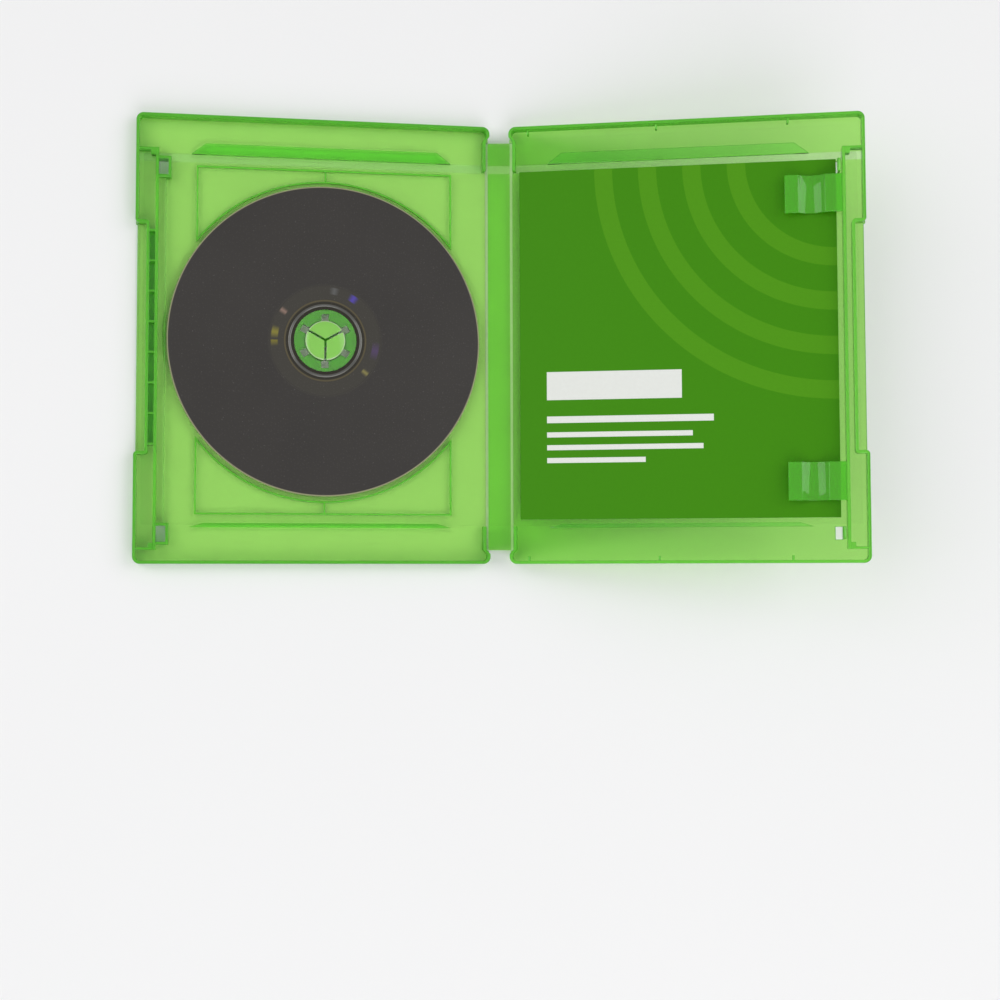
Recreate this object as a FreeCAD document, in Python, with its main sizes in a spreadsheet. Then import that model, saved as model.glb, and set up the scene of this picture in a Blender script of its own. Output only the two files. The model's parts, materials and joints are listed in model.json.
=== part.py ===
"""Open disc case: two moulded covers, a hinged spine, a press-to-release hub, a disc and a leaflet.

The disc cover lies flat on its back with the disc's axis on the origin and its outer face on z = 0.
The spine and the leaflet cover are raised about two hinge lines that run along Y, so the open case makes
a shallow V.
"""
import FreeCAD, Part
import os
import re
import Sketcher

document = FreeCAD.newDocument("DiscCase")
sizes = document.addObject("Spreadsheet::Sheet", "Sizes")

# Driving dimensions in millimetres, angles in degrees and counts.
DRIVING = {
    # both covers
    "case_height": 171.5,
    "cover_width": 135.5,
    "panel_thickness": 1.2,
    "rim_height": 5.2,
    "rim_gap": 0.2,
    "wall_thickness": 1.2,
    "corner_radius": 2.8,
    # hinge lines and spine
    "axis_to_hinge": 63.6,
    "hinge_height": 0.5,
    "hinge_clearance": 0.15,
    "opening_angle": 8.5,
    "spine_inset": 5.4,
    "corner_overhang": 0.45,
    "return_setback": 1.05,
    "return_jog_start": 3.8,
    "return_jog_end": 5.6,
    "return_top_length": 17.4,
    "return_bottom_length": 14.5,
    "gate_radius": 0.9,
    "gate_height": 0.2,
    # finger notch at the opening edge
    "notch_length": 86.8,
    "notch_depth": 4.1,
    "ledge_inset": 0.6,
    "notch_corner_radius": 1.5,
    # latch wall, its ladder of ribs and the two latches
    "latch_wall_inset": 7.4,
    "latch_wall_top_end": 13.2,
    "latch_wall_bottom_end": 5.3,
    "end_block_length": 2.6,
    "end_block_width": 3.0,
    "rib_thickness": 0.9,
    "ladder_pitch": 11.6,
    "ladder_count": 8,
    "stiffener_width": 2.7,
    "stiffener_height": 1.9,
    "latch_loop_width": 4.6,
    "latch_loop_length": 8.2,
    "latch_loop_wall": 1.1,
    "latch_top_start": 16.4,
    "latch_bottom_start": 7.2,
    "latch_loop_height": 3.7,
    "latch_tongue_inset": 0.7,
    "latch_tongue_width": 1.0,
    "latch_tongue_clearance": 0.6,
    "latch_tongue_reach": 1.5,
    "latch_barb": 0.3,
    "latch_window_width": 2.4,
    # stop ledges across both floors
    "stop_top_start": 10.3,
    "stop_top_end": 14.6,
    "stop_bottom_start": 13.9,
    "stop_bottom_end": 15.5,
    "stop_height": 1.3,
    "stop_slant": 5.5,
    "stop_hinge_end": 14.6,
    "stop_latch_end": 20.6,
    # film sleeve on the outer faces
    "film_thickness": 0.15,
    "film_clearance": 0.1,
    "film_top_inset": 14.2,
    "film_bottom_inset": 14.8,
    "film_edge_inset": 2.6,
    # frame of ribs round the disc and the seat round its hub
    "frame_half_width": 49.3,
    "frame_half_height": 67.0,
    "frame_height": 0.8,
    "frame_rib": 0.7,
    "pocket_radius": 61.7,
    "seat_height": 1.4,
    "seat_clearance": 0.8,
    "seat_outer_radius": 16.6,
    "window_count": 6,
    "window_width": 2.8,
    "window_start": 0.4,
    "window_end": 3.2,
    "slot_inner_radius": 2.0,
    # disc
    "disc_radius": 60.0,
    "disc_hole_radius": 7.5,
    "disc_thickness": 1.2,
    "disc_ridge_radius": 13.7,
    "disc_ridge_width": 0.6,
    "disc_ridge_height": 0.15,
    "disc_edge_chamfer": 0.2,
    # sprung petals of the hub
    "petal_count": 3,
    "petal_radius": 7.2,
    "petal_wall": 1.1,
    "petal_slit": 0.9,
    "petal_lip": 0.5,
    "petal_lip_clearance": 0.15,
    "petal_dome_rise": 0.75,
    "petal_dome_sphere": 22.0,
    "petal_foot_length": 5.0,
    "petal_foot_clearance": 0.12,
    # leaflet and its two clips
    "floor_pad_height": 0.1,
    "floor_pad_inset": 4.2,
    "floor_pad_hinge_inset": 3.6,
    "leaflet_edge_clearance": 0.3,
    "leaflet_end_clearance": 1.75,
    "leaflet_thickness": 0.4,
    "leaflet_hinge_inset": 3.5,
    "leaflet_fold_radius": 0.15,
    "clip_reach": 21.5,
    "clip_length": 14.6,
    "clip_thickness": 0.9,
    "clip_start": 23.6,
    "clip_arch_height": 4.9,
    "clip_tip_length": 5.0,
    "clip_dip_length": 10.0,
    "clip_leaflet_clearance": 0.25,
    # tick ribs inside the top and bottom walls of the leaflet cover
    "tick_count": 3,
    "tick_start": 7.0,
    "tick_pitch": 50.0,
    "tick_thickness": 0.8,
    "tick_depth": 1.8,
    "tick_height": 2.6,
}
for row, (alias, value) in enumerate(DRIVING.items(), start=1):
    sizes.set(f"A{row}", alias)
    sizes.set(f"B{row}", str(value))
    sizes.setAlias(f"B{row}", alias)
document.recompute()

# Lengths that several pieces share, worked out from the sheet.
HALF = "case_height / 2"
SPINE_HALF = "case_height / 2 - spine_inset"
SPINE_SPAN = "2 * rim_height + rim_gap - 2 * hinge_height"
HINGE_SEAT = "hinge_height + hinge_clearance"
DISC_REST = "panel_thickness + seat_height"
LATCH_FACE = "cover_width - latch_wall_inset"
LATCH_INNER = "cover_width - latch_wall_inset - wall_thickness"
NOTCH_FACE = "cover_width - notch_depth"
RIM_MIDDLE = "cover_width - wall_thickness / 2"
FLOOR_TOP = "panel_thickness + floor_pad_height"
LEAFLET_TOP = "panel_thickness + floor_pad_height + leaflet_thickness"
TONGUE_FACE = "cover_width - latch_wall_inset - wall_thickness - latch_tongue_inset"
TONGUE_BACK = f"{TONGUE_FACE} - latch_tongue_width"
FILM_TOP = "case_height / 2 - film_top_inset"
FILM_BOTTOM = "film_bottom_inset - case_height / 2"
PETAL_PIVOT = "panel_thickness + petal_foot_clearance + petal_wall / 2"

# The latches, the stops and the latch wall lie at different distances from the top and the bottom edge.
ENDS = ("Top", "Bottom")
LATCH_START = {"Top": "latch_top_start", "Bottom": "latch_bottom_start"}
STOP_START = {"Top": "stop_top_start", "Bottom": "stop_bottom_start"}
STOP_END = {"Top": "stop_top_end", "Bottom": "stop_bottom_end"}
WALL_END = {"Top": "latch_wall_top_end", "Bottom": "latch_wall_bottom_end"}


def inward(end, text):
    """Place along Y of a point that lies a distance in from the case's top or bottom edge."""
    return f"{HALF} - ({text})" if end == "Top" else f"{text} - {HALF}"


def bound(text):
    """Turns a formula in sheet names into one that any object of the document can hold."""
    return re.sub(r"\b[a-z][a-z_]+\b(?!\()", r"Sizes.\g<0>", text)


def number(text):
    """Gives the present value of a formula in sheet names."""
    return float(sizes.evalExpression(text))


def bind(item, **formulas):
    """Ties properties of a document object to formulas."""
    for name, text in formulas.items():
        item.setExpression(name, bound(text))


def new_body(label):
    """Starts a sub-part; its label names its file."""
    body = document.addObject("PartDesign::Body", label)
    body.Label = label
    return body


def datum(body, role):
    """Finds an origin plane or axis of a body by its role."""
    return next(item for item in body.Origin.OriginFeatures if item.Role == role)


def new_sketch(body, name, level="0", role="XY_Plane"):
    """Starts a sketch parallel to one of the body's own planes, raised by a formula along its normal."""
    sketch = body.newObject("Sketcher::SketchObject", name)
    sketch.AttachmentSupport = [(datum(body, role), "")]
    sketch.MapMode = "FlatFace"
    sketch.setExpression(".AttachmentOffset.Base.z", bound(level))
    return sketch


def constrain(sketch, rules):
    """Adds constraints that the sketch already meets, all at once, and ties their values to formulas.

    Each rule is a constraint's kind, what it holds and, where it has a value, the formula for it.
    """
    made = []
    for kind, held, text in rules:
        value = [] if text is None else [number(text)]
        made.append(Sketcher.Constraint(kind, *held, *value))
    first = sketch.ConstraintCount
    sketch.addConstraint(made)
    for step, (kind, held, text) in enumerate(rules):
        if text is not None:
            sketch.setExpression(f"Constraints[{first + step}]", bound(text))


def pinned(geometry, vertex, across, up):
    """Rules that fix one point of a sketch at two formulas from the sketch's origin."""
    return [("DistanceX", (-1, 1, geometry, vertex), across), ("DistanceY", (-1, 1, geometry, vertex), up)]


def rounded(across, up, radius):
    """A corner of an outline that is rounded, where its two edges run along the sketch's axes."""
    return (across, up, radius, "corner")


def bowed(across, up, radius):
    """A corner of an outline whose next edge is an arc that bulges to the right of its way."""
    return (across, up, radius, "right")


def hollowed(across, up, radius):
    """A corner of an outline whose next edge is an arc that bulges to the left of its way."""
    return (across, up, radius, "left")


def tangent_point(corner, here, neighbour):
    """The end of a rounded corner's arc on the edge towards a neighbouring corner."""
    across, up, radius = corner[:3]
    if abs(neighbour.x - here.x) < abs(neighbour.y - here.y):
        return across, f"{up} {'+' if neighbour.y > here.y else '-'} ({radius})"
    return f"{across} {'+' if neighbour.x > here.x else '-'} ({radius})", up


def outline_edges(corners):
    """Lists an outline's edges: start formulas, the arc's radius or None, the side that it bulges to."""
    spots = [FreeCAD.Vector(number(corner[0]), number(corner[1]), 0) for corner in corners]
    edges = []
    for step, corner in enumerate(corners):
        if len(corner) == 2:
            edges.append((corner[0], corner[1], None, 0))
        elif corner[3] in ("right", "left"):
            edges.append((*corner[:3], 1 if corner[3] == "right" else -1))
        else:
            before, here, after = spots[step - 1], spots[step], spots[(step + 1) % len(corners)]
            enter = tangent_point(corner, here, before)
            leave = tangent_point(corner, here, after)
            turn = (here - before).cross(after - here).z
            edges.append((*enter, corner[2], 1 if turn > 0 else -1))
            edges.append((*leave, None, 0))
    return edges


def polygon(sketch, corners):
    """Adds a closed outline through corners, each a pair of formulas, rounded or bowed where it says so."""
    first = sketch.GeometryCount
    edges = outline_edges(corners)
    count = len(edges)
    spots = [FreeCAD.Vector(number(edge[0]), number(edge[1]), 0) for edge in edges]
    for step, (across, up, radius, side) in enumerate(edges):
        start, end = spots[step], spots[(step + 1) % count]
        if radius is None:
            sketch.addGeometry(Part.LineSegment(start, end))
            continue
        chord = end - start
        bend = number(radius)
        bulge = bend - (bend ** 2 - (chord.Length / 2) ** 2) ** 0.5
        right = FreeCAD.Vector(chord.y, -chord.x, 0).normalize()
        crown = (start + end) / 2 + right * bulge * side
        turning = (start, crown, end) if side > 0 else (end, crown, start)
        sketch.addGeometry(Part.ArcOfCircle(*turning))
    ends = []
    for step in range(count):
        curve = sketch.Geometry[first + step]
        ends.append((1, 2) if curve.StartPoint.distanceToPoint(spots[step]) < 1e-6 else (2, 1))
    rules = []
    for step, (across, up, radius, side) in enumerate(edges):
        after = (step + 1) % count
        rules.append(("Coincident", (first + step, ends[step][1], first + after, ends[after][0]), None))
        rules += pinned(first + step, ends[step][0], across, up)
        if radius is not None:
            rules.append(("Radius", (first + step,), radius))
    constrain(sketch, rules)


def rectangle(sketch, left, right, low, high):
    """Adds an upright rectangle between four formulas."""
    polygon(sketch, [(left, low), (right, low), (right, high), (left, high)])


def circle(sketch, across, up, radius):
    """Adds a circle about a point."""
    middle = FreeCAD.Vector(number(across), number(up), 0)
    geometry = sketch.addGeometry(Part.Circle(middle, FreeCAD.Vector(0, 0, 1), number(radius)))
    constrain(sketch, pinned(geometry, 3, across, up) + [("Radius", (geometry,), radius)])


def pad(body, name, sketch, length, middle=False):
    """Raises a sketch into material, upwards or to both sides of the sketch."""
    feature = body.newObject("PartDesign::Pad", name)
    feature.Profile = sketch
    feature.Midplane = middle
    bind(feature, Length=length)
    return feature


def pocket(body, name, sketch, depth):
    """Cuts a sketch to the same depth on both sides of its plane."""
    feature = body.newObject("PartDesign::Pocket", name)
    feature.Profile = sketch
    feature.Midplane = True
    bind(feature, Length=f"2 * ({depth})")
    return feature


def polar(body, name, feature, count):
    """Repeats a feature evenly about the body's Z axis."""
    pattern = body.newObject("PartDesign::PolarPattern", name)
    pattern.Originals = [feature]
    pattern.Axis = (datum(body, "Z_Axis"), [""])
    pattern.Angle = 360
    bind(pattern, Occurrences=count)
    body.Tip = pattern
    return pattern


def row_of(body, name, feature, role, pitch, count):
    """Repeats a feature at a pitch along one of the body's axes."""
    pattern = body.newObject("PartDesign::LinearPattern", name)
    pattern.Originals = [feature]
    pattern.Direction = (datum(body, role), [""])
    bind(pattern, Length=f"({pitch}) * ({count} - 1)", Occurrences=count)
    body.Tip = pattern
    return pattern


def cover_shell(body, along):
    """Builds what both covers share.

    Distances from the hinge line become the body's X by way of the function along, so one outline serves the
    cover that opens to the left and the one that opens to the right.
    """
    seat_end = f"{SPINE_HALF} + hinge_clearance"
    hinge_side = along("-corner_overhang")
    outer = along("cover_width")

    outline = new_sketch(body, "PanelOutline")
    ledge = along("cover_width - ledge_inset")
    polygon(outline, [
        rounded(hinge_side, f"-({HALF})", "corner_radius"),
        (hinge_side, f"-({seat_end})"),
        (along(HINGE_SEAT), f"-({seat_end})"),
        (along(HINGE_SEAT), seat_end),
        (hinge_side, seat_end),
        rounded(hinge_side, HALF, "corner_radius"),
        rounded(outer, HALF, "corner_radius"),
        (outer, "notch_length / 2"),
        (ledge, "notch_length / 2"),
        (ledge, "-notch_length / 2"),
        (outer, "-notch_length / 2"),
        rounded(outer, f"-({HALF})", "corner_radius"),
    ])
    pad(body, "Panel", outline, "panel_thickness")

    inner = along("cover_width - wall_thickness")
    hinge_inner = along("wall_thickness - corner_overhang")
    setback = along("return_setback")
    setback_inner = along("return_setback + wall_thickness")
    rim = new_sketch(body, "RimOutline")
    outside = (hinge_side, setback, outer, along(NOTCH_FACE), "0")
    inside = (hinge_inner, setback_inner, inner, along(f"{NOTCH_FACE} - wall_thickness"), "wall_thickness")
    for hinge_edge, setback_edge, open_edge, notch_edge, shrink in (outside, inside):
        top = f"{HALF} - {shrink}"
        notch = f"notch_length / 2 + {shrink}"
        turn = f"corner_radius - {shrink}"
        outward_turn = f"notch_corner_radius - {shrink}"
        inward_turn = f"notch_corner_radius - wall_thickness + {shrink}"
        polygon(rim, [
            rounded(hinge_edge, top, turn),
            (hinge_edge, f"{HALF} - return_jog_start"),
            (setback_edge, f"{HALF} - return_jog_end"),
            (setback_edge, f"return_jog_end - {HALF}"),
            (hinge_edge, f"return_jog_start - {HALF}"),
            rounded(hinge_edge, f"-({top})", turn),
            rounded(open_edge, f"-({top})", turn),
            rounded(open_edge, f"-({notch})", outward_turn),
            rounded(notch_edge, f"-({notch})", inward_turn),
            rounded(notch_edge, notch, inward_turn),
            rounded(open_edge, notch, outward_turn),
            rounded(open_edge, top, turn),
        ])
    pad(body, "Rim", rim, "rim_height")

    mouth = new_sketch(body, "HingeMouth", "(panel_thickness + rim_height) / 2")
    rectangle(mouth, setback, setback_inner,
              inward("Bottom", "return_bottom_length"), inward("Top", "return_top_length"))
    pocket(body, "HingeSideOpening", mouth, "(rim_height - panel_thickness) / 2")

    sleeve = new_sketch(body, "SleeveRecess")
    rectangle(sleeve, along(HINGE_SEAT), along("cover_width - film_edge_inset"), FILM_BOTTOM, FILM_TOP)
    pocket(body, "FilmRecess", sleeve, "film_thickness")

    wall = new_sketch(body, "LatchWallPlan", "panel_thickness")
    rectangle(wall, along(LATCH_INNER), along(LATCH_FACE),
              inward("Bottom", WALL_END["Bottom"]), inward("Top", WALL_END["Top"]))
    pad(body, "LatchWall", wall, "rim_height - panel_thickness")

    for end in ENDS:
        block = new_sketch(body, f"{end}EndPlan", "panel_thickness")
        wall_end = inward(end, WALL_END[end])
        rib_end = inward(end, f"{WALL_END[end]} + rib_thickness")
        block_end = inward(end, f"{WALL_END[end]} + end_block_length")
        block_face = along(f"{LATCH_INNER} + end_block_width")
        polygon(block, [
            (along(LATCH_INNER), wall_end),
            (along(RIM_MIDDLE), wall_end),
            (along(RIM_MIDDLE), rib_end),
            (block_face, rib_end),
            (block_face, block_end),
            (along(LATCH_INNER), block_end),
        ])
        pad(body, f"{end}EndBlock", block, "rim_height - panel_thickness - rim_gap")

        stop = new_sketch(body, f"{end}StopPlan", "panel_thickness")
        left, right = sorted((along("stop_hinge_end"), along("cover_width - stop_latch_end")), key=number)
        low, high = sorted((inward(end, STOP_START[end]), inward(end, STOP_END[end])), key=number)
        polygon(stop, [(left, low), (right, low), (f"{right} - stop_slant", high), (f"{left} + stop_slant", high)])
        pad(body, f"{end}Stop", stop, "stop_height")


def along_left(text):
    """Distance from the first hinge line, counted towards the left, as the disc cover's X."""
    return f"axis_to_hinge - ({text})"


def along_right(text):
    """Distance from the second hinge line as the leaflet cover's own X."""
    return f"({text})"


def make_disc_cover():
    """The cover that lies flat: frame round the disc, hub seat, ladder of ribs and two latch loops."""
    body = new_body("disc_cover")
    cover_shell(body, along_left)

    ladder = new_sketch(body, "LadderPlan", "panel_thickness")
    first = "-ladder_pitch * (ladder_count - 1) / 2"
    rectangle(ladder, along_left(NOTCH_FACE + " - wall_thickness / 2"), along_left(LATCH_INNER),
              f"{first} - rib_thickness / 2", f"{first} + rib_thickness / 2")
    rung = pad(body, "LadderRung", ladder, "rim_height - panel_thickness - rim_gap")
    row_of(body, "Ladder", rung, "Y_Axis", "ladder_pitch", "ladder_count")

    step = new_sketch(body, "StiffenerPlan", "panel_thickness")
    low, high = (inward(end, f"{LATCH_START[end]} + latch_loop_length") for end in ("Bottom", "Top"))
    rectangle(step, along_left(f"{LATCH_INNER} + wall_thickness / 2"),
              along_left(f"{LATCH_INNER} - stiffener_width"), low, high)
    pad(body, "LatchWallStep", step, "stiffener_height")

    loops = new_sketch(body, "LatchLoopPlan", "panel_thickness")
    holes = new_sketch(body, "LatchHolePlan")
    for end in ENDS:
        start = LATCH_START[end]
        rectangle(loops, along_left(f"{LATCH_INNER} + wall_thickness / 2"),
                  along_left(f"{LATCH_INNER} - latch_loop_width"),
                  inward(end, start), inward(end, f"{start} + latch_loop_length"))
        rectangle(holes, along_left(LATCH_INNER),
                  along_left(f"{LATCH_INNER} - latch_loop_width + latch_loop_wall"),
                  inward(end, f"{start} + latch_loop_wall"),
                  inward(end, f"{start} + latch_loop_length - latch_loop_wall"))
    pad(body, "LatchLoops", loops, "latch_loop_height")
    pocket(body, "LatchHoles", holes, "panel_thickness + latch_loop_height")

    frame = new_sketch(body, "FramePlan", "panel_thickness")
    rectangle(frame, "-frame_half_width", "frame_half_width", "-frame_half_height", "frame_half_height")
    pad(body, "DiscFrame", frame, "frame_height")
    pocket_plan = new_sketch(body, "DiscPocketPlan", "panel_thickness + frame_height")
    circle(pocket_plan, "0", "0", "pocket_radius")
    pocket(body, "DiscPocket", pocket_plan, "frame_height")
    hollows = new_sketch(body, "FrameHollowPlan", "panel_thickness + frame_height")
    ring, middle = "pocket_radius + frame_rib", "frame_rib / 2"
    side, end = "frame_half_width - frame_rib", "frame_half_height - frame_rib"
    for across, up, arc in (("", "", hollowed), ("-", "", bowed), ("", "-", bowed), ("-", "-", hollowed)):
        polygon(hollows, [
            arc(f"{across}({middle})", f"{up}sqrt(({ring}) ^ 2 - ({middle}) ^ 2)", ring),
            (f"{across}({side})", f"{up}sqrt(({ring}) ^ 2 - ({side}) ^ 2)"),
            (f"{across}({side})", f"{up}({end})"),
            (f"{across}({middle})", f"{up}({end})"),
        ])
    pocket(body, "FrameHollows", hollows, "frame_height")

    seat = new_sketch(body, "HubSeatPlan", "panel_thickness")
    circle(seat, "0", "0", "seat_outer_radius")
    circle(seat, "0", "0", "petal_radius + seat_clearance")
    pad(body, "HubSeat", seat, "seat_height")
    window = new_sketch(body, "HubWindowPlan")
    window_inner, window_outer = "petal_radius + window_start", "petal_radius + window_end"
    rectangle(window, "-window_width / 2", "window_width / 2", window_inner, window_outer)
    cut = pocket(body, "HubWindow", window, f"2 * ({DISC_REST})")
    polar(body, "HubWindows", cut, "window_count")
    slot = new_sketch(body, "HubSlotPlan")
    rectangle(slot, "-petal_slit / 2", "petal_slit / 2", f"-({window_outer})", "-slot_inner_radius")
    cut = pocket(body, "HubSlot", slot, "2 * panel_thickness")
    polar(body, "HubSlots", cut, "petal_count")
    return body


def make_leaflet_cover():
    """The raised cover: leaflet floor, two leaflet clips, two latch tongues and tick ribs."""
    body = new_body("leaflet_cover")
    cover_shell(body, along_right)

    floor = new_sketch(body, "FloorPadPlan", "panel_thickness")
    rectangle(floor, "floor_pad_hinge_inset", f"{LATCH_INNER} + wall_thickness / 2",
              inward("Bottom", "floor_pad_inset"), inward("Top", "floor_pad_inset"))
    pad(body, "FloorPad", floor, "floor_pad_height")

    for end in ENDS:
        middle = inward(end, "clip_start + clip_length / 2")
        profile = new_sketch(body, f"{end}ClipProfile", f"-({middle})", "XZ_Plane")
        tip = f"{LATCH_INNER} - clip_reach"
        dip_start = f"{tip} + clip_tip_length"
        dip_end = f"{dip_start} + clip_dip_length"
        root = f"{LATCH_INNER} + wall_thickness / 2"
        under = "clip_arch_height - clip_thickness"
        sag = f"({under} - ({LEAFLET_TOP}) - clip_leaflet_clearance)"
        bend = f"((clip_dip_length / 2) ^ 2 + {sag} ^ 2) / (2 * {sag})"
        polygon(profile, [
            (tip, under),
            bowed(dip_start, under, bend),
            (dip_end, under),
            (root, under),
            (root, "clip_arch_height"),
            hollowed(dip_end, "clip_arch_height", bend),
            (dip_start, "clip_arch_height"),
            (tip, "clip_arch_height"),
        ])
        pad(body, f"{end}Clip", profile, "clip_length", middle=True)

    windows = new_sketch(body, "LatchWindowPlan")
    top = "rim_height + latch_tongue_reach"
    for end in ENDS:
        start = f"{LATCH_START[end]} + latch_loop_wall + latch_tongue_clearance"
        finish = f"{LATCH_START[end]} + latch_loop_length - latch_loop_wall - latch_tongue_clearance"
        rectangle(windows, f"{TONGUE_BACK} - latch_window_width", TONGUE_BACK,
                  inward(end, start), inward(end, finish))
        middle = inward(end, f"{LATCH_START[end]} + latch_loop_length / 2")
        hook = new_sketch(body, f"{end}TongueProfile", f"-({middle})", "XZ_Plane")
        polygon(hook, [
            (TONGUE_FACE, "panel_thickness / 2"),
            (TONGUE_FACE, f"{top} - latch_barb"),
            (f"{TONGUE_BACK} + latch_barb", top),
            (f"{TONGUE_BACK} - latch_barb", f"{top} - 2 * latch_barb"),
            (TONGUE_BACK, f"{top} - 3 * latch_barb"),
            (TONGUE_BACK, "panel_thickness / 2"),
        ])
        pad(body, f"{end}Tongue", hook,
            "latch_loop_length - 2 * latch_loop_wall - 2 * latch_tongue_clearance", middle=True)
    pocket(body, "LatchWindows", windows, "panel_thickness + 2 * floor_pad_height")

    ticks = new_sketch(body, "TickPlan", "panel_thickness")
    for way in ("", "-"):
        rectangle(ticks, "tick_start - tick_thickness / 2", "tick_start + tick_thickness / 2",
                  f"{way}({HALF} - wall_thickness / 2)", f"{way}({HALF} - wall_thickness - tick_depth)")
    tick = pad(body, "Tick", ticks, "tick_height")
    row_of(body, "Ticks", tick, "X_Axis", "tick_pitch", "tick_count")

    body.Placement = FreeCAD.Placement(FreeCAD.Vector(), FreeCAD.Rotation(FreeCAD.Vector(0, -1, 0), 1))
    bind(body, **{
        ".Placement.Base.x": f"axis_to_hinge + ({SPINE_SPAN}) * cos(opening_angle)"
                             " + hinge_height * sin(2 * opening_angle)",
        ".Placement.Base.z": f"hinge_height + ({SPINE_SPAN}) * sin(opening_angle)"
                             " - hinge_height * cos(2 * opening_angle)",
        ".Placement.Rotation.Angle": "2 * opening_angle",
    })
    return body


def place_on_spine(body):
    """Turns a body that is drawn about the first hinge line to the spine's angle."""
    body.Placement = FreeCAD.Placement(FreeCAD.Vector(), FreeCAD.Rotation(FreeCAD.Vector(0, -1, 0), 1))
    bind(body, **{
        ".Placement.Base.x": "axis_to_hinge",
        ".Placement.Base.z": "hinge_height",
        ".Placement.Rotation.Angle": "opening_angle",
    })


def place_in_leaflet_cover(body):
    """Turns a body that is drawn in the leaflet cover's own frame to where that cover is."""
    body.Placement = document.getObject("leaflet_cover").Placement
    for path in (".Placement.Base.x", ".Placement.Base.z", ".Placement.Rotation.Angle"):
        body.setExpression(path, f"leaflet_cover{path}")


def make_spine():
    """The narrow wall between the covers; its two long edges are round beads on the hinge lines."""
    body = new_body("spine")
    section = new_sketch(body, "SpineSection", "0", "XZ_Plane")
    polygon(section, [
        ("0", "-hinge_height"),
        (SPINE_SPAN, "-hinge_height"),
        (SPINE_SPAN, "hinge_height"),
        ("0", "hinge_height"),
    ])
    pad(body, "SpineWall", section, f"2 * ({SPINE_HALF})", middle=True)
    beads = new_sketch(body, "BeadSection", "0", "XZ_Plane")
    for across in ("0", SPINE_SPAN):
        circle(beads, across, "0", "hinge_height")
    pad(body, "HingeBeads", beads, f"2 * ({SPINE_HALF})", middle=True)
    sleeve = new_sketch(body, "SleeveRecess", "-hinge_height")
    rectangle(sleeve, "hinge_height", f"{SPINE_SPAN} - hinge_height", FILM_BOTTOM, FILM_TOP)
    pocket(body, "FilmRecess", sleeve, "film_thickness")
    gate = new_sketch(body, "GatePlan", "hinge_height")
    circle(gate, f"({SPINE_SPAN}) / 2", "0", "gate_radius")
    pad(body, "GateMark", gate, "gate_height")
    place_on_spine(body)
    return body


def make_disc():
    """The disc: a flat ring with broken edges and a low stacking ridge round its clear middle."""
    body = new_body("disc")
    section = new_sketch(body, "DiscSection", "0", "XZ_Plane")
    top = f"{DISC_REST} + disc_thickness"
    ridge = "disc_ridge_width / 2"
    polygon(section, [
        ("disc_hole_radius", DISC_REST),
        ("disc_radius - disc_edge_chamfer", DISC_REST),
        ("disc_radius", f"{DISC_REST} + disc_edge_chamfer"),
        ("disc_radius", f"{top} - disc_edge_chamfer"),
        ("disc_radius - disc_edge_chamfer", top),
        (f"disc_ridge_radius + {ridge}", top),
        (f"disc_ridge_radius + {ridge} / 2", f"{top} + disc_ridge_height"),
        (f"disc_ridge_radius - {ridge} / 2", f"{top} + disc_ridge_height"),
        (f"disc_ridge_radius - {ridge}", top),
        ("disc_hole_radius", top),
    ])
    ring = body.newObject("PartDesign::Revolution", "DiscRing")
    ring.Profile = section
    ring.ReferenceAxis = (datum(body, "Z_Axis"), [""])
    ring.Angle = 360
    return body


def make_petal(index):
    """One of the hub's sprung petals: a third of a hollow dome with a lip over the disc and a round foot."""
    body = new_body(f"hub_petal_{index + 1}")
    section = new_sketch(body, "PetalSection", "0", "XZ_Plane")
    lip = f"{DISC_REST} + disc_thickness + petal_lip_clearance"
    crown = f"{lip} + petal_lip"
    polygon(section, [
        ("petal_radius", PETAL_PIVOT),
        ("petal_radius", lip),
        ("petal_radius + petal_lip", f"{lip} + petal_lip / 3"),
        bowed("petal_radius", crown, "petal_dome_sphere"),
        ("0", f"{crown} + petal_dome_rise"),
        ("0", f"{crown} + petal_dome_rise - petal_wall"),
        ("petal_radius - petal_wall", f"{crown} - petal_wall"),
        ("petal_radius - petal_wall", PETAL_PIVOT),
    ])
    dome = body.newObject("PartDesign::Revolution", "Dome")
    dome.Profile = section
    dome.ReferenceAxis = (datum(body, "Z_Axis"), [""])
    dome.Angle = 360

    third = new_sketch(body, "PetalPlan")
    reach = "2 * petal_radius"
    tip = "petal_slit / 2 / sin(180 / petal_count)"
    spread = f"({reach} - {tip}) * tan(180 / petal_count)"
    circle(third, "0", "0", "8 * petal_radius")
    polygon(third, [(tip, "0"), (reach, spread), (reach, f"-({spread})")])
    pocket(body, "PetalCut", third, "4 * petal_radius")

    foot = new_sketch(body, "FootSection", "0", "XZ_Plane")
    circle(foot, "petal_radius - petal_wall / 2", PETAL_PIVOT, "petal_wall / 2")
    pad(body, "RoundFoot", foot, "petal_foot_length", middle=True)
    body.Placement = FreeCAD.Placement(FreeCAD.Vector(), FreeCAD.Rotation(FreeCAD.Vector(0, 0, 1), 1))
    bind(body, **{".Placement.Rotation.Angle": f"90 + {index} * 360 / petal_count"})
    return body


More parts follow.
